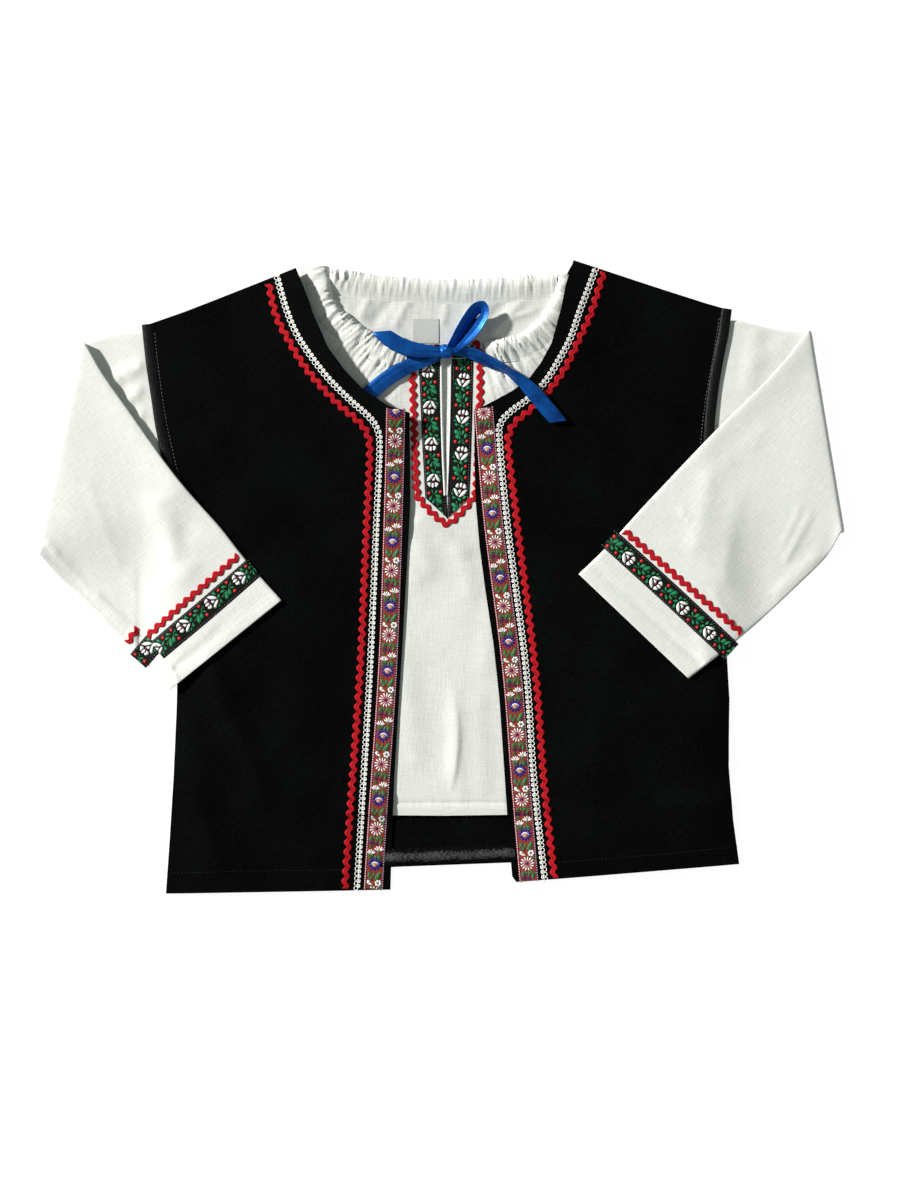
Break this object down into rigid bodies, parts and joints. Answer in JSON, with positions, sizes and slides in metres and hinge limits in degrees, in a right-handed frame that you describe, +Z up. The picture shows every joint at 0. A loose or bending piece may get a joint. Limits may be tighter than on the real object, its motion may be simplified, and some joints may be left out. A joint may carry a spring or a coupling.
{
  "type": "folk shirt and vest set",
  "caption": "Child's folk set laid flat: white peasant shirt with a drawstring neck inside an open black vest edged with woven ribbon, braid and red ric-rac, sleeves turned over the front.",
  "frame": {"origin": "on the table, under the middle of the set's bounding box", "axes": "+X to the right as the set is looked at from above, +Y towards the neck, +Z up from the table"},
  "size_m": [0.533, 0.417, 0.0149],
  "materials": {
    "black_cloth": "matte woven cloth with a faint sheen",
    "black_satin": "satin tape",
    "white_cloth": "plain-weave cotton and linen, matte",
    "white_label": "plain woven tape, blank",
    "rose_ribbon": "woven ribbon, black ground with white roses, green leaves and red berries",
    "flower_ribbon": "woven ribbon, brick-red and olive ground with small mixed flowers",
    "red_braid": "woven zigzag braid",
    "white_braid": "looped cotton braid",
    "blue_satin": "glossy satin ribbon"
  },
  "bodies": {
    "root": {"vest_back": "black_cloth", "vest_back_hem_facing": "black_satin", "vest_front_left": "black_cloth", "vest_front_right": "black_cloth", "armhole_binding_left": "black_satin", "armhole_binding_right": "black_satin", "vest_ribbon_left": "flower_ribbon", "vest_picot_left": "white_braid", "vest_ricrac_left": "red_braid", "vest_ribbon_right": "flower_ribbon", "vest_picot_right": "white_braid", "vest_ricrac_right": "red_braid", "shirt_front": "white_cloth", "shirt_back": "white_cloth", "neck_label": "white_label", "neck_casing_back": "white_cloth", "neck_casing_left": "white_cloth", "neck_casing_right": "white_cloth", "placket_ribbon_left": "rose_ribbon", "placket_ribbon_right": "rose_ribbon", "placket_ricrac": "red_braid", "sleeve_left": "white_cloth", "sleeve_right": "white_cloth", "sleeve_ribbon_left": "rose_ribbon", "sleeve_ricrac_left": "red_braid", "sleeve_ribbon_left_seam": "rose_ribbon", "sleeve_ricrac_left_seam": "red_braid", "sleeve_ribbon_right": "rose_ribbon", "sleeve_ricrac_right": "red_braid", "bow_loop_right": "blue_satin", "bow_loop_left": "blue_satin", "bow_tail_left": "blue_satin", "bow_tail_right": "blue_satin", "bow_knot": "blue_satin"}
  },
  "joints": []
}
